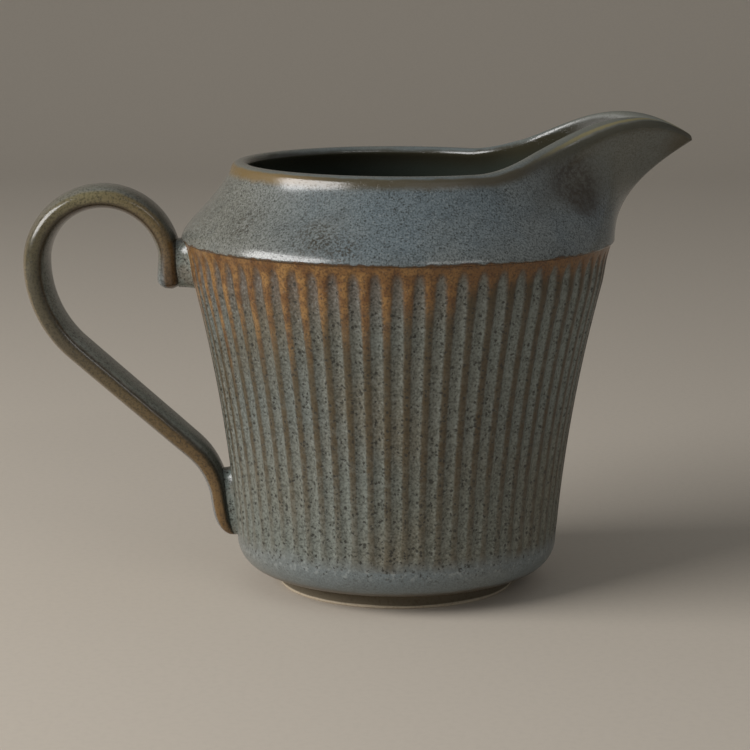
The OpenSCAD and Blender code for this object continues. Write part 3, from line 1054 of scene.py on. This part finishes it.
def heel_tone(g):
    """Bluish glaze of the heel, with pale flecks and iron specks where the flutes run out."""
    colour, height = grey_glaze(g)
    colour = g.mix(0.5, colour, HEEL_BLUE)
    z = g.axis(2)
    colour, _ = specked(g, colour, 1.0, g.ramp(z, heel_z - 5.0, heel_z + 1.0))
    flecks = g.ramp(g.noise(1.1, detail=2.0, seed=19.0), 0.52, 0.66)
    run_out = g.band(z, heel_z - 4.0, heel_z - 0.5, heel_z + 1.0, heel_z + 4.0)
    return g.mix(g.times(g.times(flecks, run_out), 0.5), colour, PALE_FLECK), height


def flute_glaze():
    """Fluted wall: grey pools with iron specks in the flutes, brown where the glaze breaks."""
    g = Glaze("flute_glaze", roughness=0.3, bump=0.06)
    grain = g.noise(0.62, detail=2.0, seed=3.0)
    ragged = g.noise(1.4, detail=3.0, seed=23.0)
    mottle = g.noise(3.5, detail=3.0, seed=2.0)
    blotch = g.noise(9.0, detail=3.0, seed=17.0)
    # millimetres below the shoulder edge
    drop = g.minus(shoulder_z, g.axis(2))
    pool = g.value("pool")

    # the pools, mauve at their tops and pale where the glaze is thinnest; that side faces the window,
    # so the paleness is partly painted light
    thin_and_lit = thin_and_lit_side(g)
    thick_and_shaded = g.inverse(thin_and_lit)
    pools = g.mix(g.ramp(g.noise(30, seed=6.0), 0.35, 0.7), FLUTE_GREY, FLUTE_WARM)
    blue = g.scaled(g.ramp(drop, 60.0, 20.0), 0.55, 0.45)
    pools = g.mix(g.times(thick_and_shaded, blue), pools, FLUTE_BLUE)
    thinnest_and_lit = g.ramp(thin_and_lit, 0.6, 1.0)
    pale = g.times(thinnest_and_lit, g.ramp(drop, 20.0, 75.0))
    pools = g.mix(g.times(pale, 0.6), pools, FLUTE_PALE_AND_LIT)
    mauve = g.scaled(thin_and_lit, 0.7, 0.1)
    pools = g.mix(g.times(g.ramp(drop, 22.0, 3.0), mauve), pools, FLUTE_MAUVE)
    pools = grained(g, pools, grain)

    # the ridges, with tongues of rust that hang from the band and taper
    chance = g.noise(100, detail=1.0, seed=4.0, vector=g.heading())
    longer = g.scaled(thin_and_lit, 0.85, 0.15)
    reach = g.plus(g.times(g.times(chance, TONGUE_MORE), longer), TONGUE_LEAST)
    tongue = g.inverse(g.ramp(g.math("DIVIDE", drop, reach), 0.45, 1.2))
    rust = rust_tone(g, mottle)
    breaks = g.darken(g.ramp(grain, 0.54, 0.38), RIDGE_BROWN, RIDGE_SHADE)
    # painted shade: the breaks are darker on the side away from the window, where the glaze is also
    # thicker
    breaks = g.darken(thick_and_shaded, breaks, THICK_AND_SHADED_SIDE)
    breaks = g.mix(tongue, breaks, rust)
    breaks = g.darken(g.ramp(pool, 0.03, 0.25), breaks, FLANK_SHADE)
    uneven = g.plus(g.times(mottle, 0.3), g.times(ragged, 0.7))
    uneven = g.waver(uneven, g.scaled(g.ramp(drop, 20.0, 80.0), 0.6, 0.4))
    border = g.plus(pool, uneven)
    border = g.minus(border, g.times(g.ramp(drop, 14.0, 2.0), 0.15))
    soft = g.scaled(g.ramp(drop, 20.0, 3.0), 0.43, 0.42)
    ridge = g.inverse(g.ramp(border, -0.12, soft))
    # the ridges also fade more on the window's side, partly painted light
    fade = g.times(g.ramp(drop, 44.0, 90.0), g.plus(blotch, g.times(thinnest_and_lit, 0.25)))
    colour = g.mix(g.times(ridge, g.inverse(fade)), pools, breaks)
    colour = g.darken(g.ramp(drop, 40.0, 68.0), colour, LOW_SHADE)
    clean = g.times(g.times(ridge, tongue), 0.75)
    colour, specks = specked(g, colour, 1.0, g.inverse(clean))

    # the band of rust under the edge, and the heel's glaze where the flutes run out
    band_edge = g.plus(drop, g.waver(mottle, 2.0))
    colour = g.mix(g.ramp(band_edge, 3.4, 1.0), colour, rust)
    low, _ = heel_tone(g)
    low_edge = g.plus(drop, g.waver(blotch, 6.0))
    colour = g.mix(g.ramp(low_edge, 80.5, 86.0), colour, low)
    # painted shade on the inside of the wall
    colour = inside_painted_shade(g, colour, 0.0)
    height = g.minus(g.times(grain, 0.6), g.times(specks, 0.6))
    return g.finish(colour, g.times(height, g.ramp(g.value("rim"), -1.0, 1.0)))


def heel_glaze():
    """Heel and floor: bluish glaze that runs thin and brown towards the foot, where the brown also
    stands for painted shade under the heel.
    """
    g = Glaze("heel_glaze", roughness=0.28, bump=0.045)
    colour, height = heel_tone(g)
    z = g.plus(g.axis(2), g.waver(g.noise(9, seed=8.0), 1.6))
    # brown of thin glaze, partly painted shade on the underside of the heel
    colour = g.mix(g.ramp(z, foot_h + 2.8, foot_h + 1.0), colour, UNDER_BROWN_SHADE)
    # painted shade on the inside of the floor
    colour = g.mix(g.ramp(g.value("rim"), 0.5, -0.5), colour, INSIDE_SHADED)
    return g.finish(colour, height)


def strap_glaze():
    """Handle: brown and olive where the glaze breaks over the edges, grey-blue on its faces, with
    painted light and shade along it.
    """
    g = Glaze("strap_glaze", roughness=0.2, bump=0.04)
    grain = g.noise(0.6, detail=2.0, seed=3.0)
    mottle = g.noise(5, detail=3.0, seed=12.0)
    fine = g.specks(0.7, largest=0.38)
    uneven = g.waver(mottle, 0.35)
    along = g.value("along")
    face = g.value("face")
    # painted light and shade: the tones along the strap are lit and shaded copies of its glaze, darkest
    # on the side of the edges towards the opening
    faces = g.mix(g.ramp(face, -0.1, 0.1), g.bands(along, STRAP_INNER_LIT_SHADED), g.bands(along, STRAP_OUTER_LIT_SHADED))
    inward = g.ramp(g.plus(face, uneven), -0.15, -0.5)
    edges = g.mix(inward, g.bands(along, STRAP_EDGE_LIT_SHADED), g.bands(along, STRAP_ARRIS_LIT_SHADED))
    colour = g.mix(g.ramp(g.plus(g.value("edge"), uneven), 0.4, 0.75), faces, edges)
    colour = g.darken(g.ramp(grain, 0.54, 0.38), colour, STRAP_SHADE)
    colour = g.mix(g.times(fine, 0.6), colour, SPECK)
    height = g.minus(g.times(grain, 0.6), g.times(fine, 0.4))
    return g.finish(colour, height)


def join_glaze():
    """Pads of the handle, where thick glaze has pooled green-grey."""
    g = Glaze("join_glaze", roughness=0.2, bump=0.04)
    grain = g.noise(0.6, detail=2.0, seed=3.0)
    colour = g.mix(g.ramp(g.noise(5, seed=15.0), 0.4, 0.65), POOL_GREEN, GREY_WARM)
    colour = grained(g, colour, grain)
    colour, specks = specked(g, colour, 0.8)
    height = g.minus(g.times(grain, 0.6), g.times(specks, 0.5))
    return g.finish(colour, height)


def bare_clay():
    """Foot ring: rough clay, darker brown on its sides and pale where it stands."""
    g = Glaze("bare_clay", roughness=0.85, bump=0.08)
    grain = g.noise(0.8, detail=4.0, seed=21.0)
    z = g.plus(g.axis(2), g.waver(g.noise(11, seed=22.0), 0.5))
    colour = g.mix(g.ramp(z, 0.6, 1.0), CLAY, CLAY_BROWN)
    colour = g.darken(g.ramp(grain, 0.5, 0.3), colour, CLAY_SHADE)
    return g.finish(colour, grain)


def stage_paint(name, colour):
    """Plain matt paint of the floor."""
    g = Glaze(name, roughness=0.9, bump=0.02)
    grain = g.noise(2.0, detail=3.0, seed=31.0)
    tone = g.darken(g.ramp(grain, 0.6, 0.3), colour, FLOOR_SHADE)
    return g.finish(tone, grain)


def dress(piece, material, node):
    piece.data.materials.append(material)
    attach(piece, "root")
    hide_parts(node)


collar_coat = collar_glaze()
join_coat = join_glaze()
dress(foot_ring, bare_clay(), "foot_ring")
dress(base_dish, heel_glaze(), "base_dish")
dress(fluted_wall, flute_glaze(), "fluted_wall")
dress(collar, collar_coat, "collar")
dress(spout, collar_coat, "spout")
dress(handle, strap_glaze(), "handle")
dress(upper_join, join_coat, "upper_join")
dress(lower_join, join_coat, "lower_join")


# Floor: a sweep that curves up far behind the pitcher

def floor_sweep():
    width = 6000.0
    front = -3000.0
    bend_y = 1100.0
    bend_r = 900.0
    height = 2600.0
    arc = np.radians(np.linspace(-90, 0, 25))
    y = np.r_[front, bend_y + bend_r * np.cos(arc), bend_y + bend_r]
    z = np.r_[0.0, bend_r + bend_r * np.sin(arc), height]
    line = np.stack([y, z], -1)
    points = [(x, a, b) for x in (-width / 2, width / 2) for a, b in line]
    n = len(line)
    faces = [(k, n + k, n + k + 1, k + 1) for k in range(n - 1)]
    sweep = new_piece("floor_sweep", np.array(points), faces)
    sweep.data.materials.append(stage_paint("floor_paint", srgb("#cbc1b2")))


floor_sweep()


# Camera at the photograph's viewing angle

camera_place = Vector((0.0, -687.0, 185.6)) * MM
camera_pitch = math.radians(-10.47)
camera_yaw = math.radians(-0.52)
camera_roll = math.radians(0.16)
camera_lens = 119.4


def add_camera():
    data = bpy.data.cameras.new("camera")
    data.lens = camera_lens
    data.sensor_width = 36.0
    data.clip_start = 0.01
    camera = bpy.data.objects.new("camera", data)
    bpy.context.scene.collection.objects.link(camera)
    level = Matrix.Rotation(math.pi / 2 + camera_pitch, 4, "X")
    heading = Matrix.Rotation(-camera_yaw, 4, "Z")
    roll = Matrix.Rotation(camera_roll, 4, "Z")
    camera.matrix_world = Matrix.Translation(camera_place) @ heading @ level @ roll
    bpy.context.scene.camera = camera


add_camera()


# Light: one wide window on the left, a narrow strip on the right, and a soft room

def add_lamp(name, azimuth, elevation, distance, size, watts, colour):
    """An area lamp aimed at the pitcher; azimuth counts from the camera's side, to the right.

    Its distance and size are in metres.
    """
    a, e = math.radians(azimuth), math.radians(elevation)
    aim = Vector((0.0, 0.0, 75.0)) * MM
    way = Vector((math.sin(a) * math.cos(e), -math.cos(a) * math.cos(e), math.sin(e)))
    data = bpy.data.lights.new(name, "AREA")
    data.shape = "RECTANGLE"
    data.size, data.size_y = size
    data.energy = watts
    data.color = colour
    lamp = bpy.data.objects.new(name, data)
    bpy.context.scene.collection.objects.link(lamp)
    lamp.location = aim + way * distance
    lamp.rotation_euler = (-way).to_track_quat("-Z", "Y").to_euler()


add_lamp(
    "window",
    azimuth=-64.0,
    elevation=26.0,
    distance=1.1,
    size=(0.9, 0.5),
    watts=12.0,
    colour=(1.0, 0.985, 0.98),
)
add_lamp(
    "front_lamp",
    azimuth=30.0,
    elevation=31.0,
    distance=1.3,
    size=(0.75, 0.028),
    watts=0.95,
    colour=(1.0, 0.98, 0.96),
)


def add_world():
    world = bpy.data.worlds.new("room")
    bpy.context.scene.world = world
    world.use_nodes = True
    background = world.node_tree.nodes["Background"]
    background.inputs["Color"].default_value = (0.93, 0.96, 1.0, 1.0)
    background.inputs["Strength"].default_value = 0.21


add_world()
bpy.context.scene.view_settings.view_transform = "Standard"


def corners(bounds):
    """A box as plain lists of numbers."""
    return [[float(x) for x in corner] for corner in bounds]
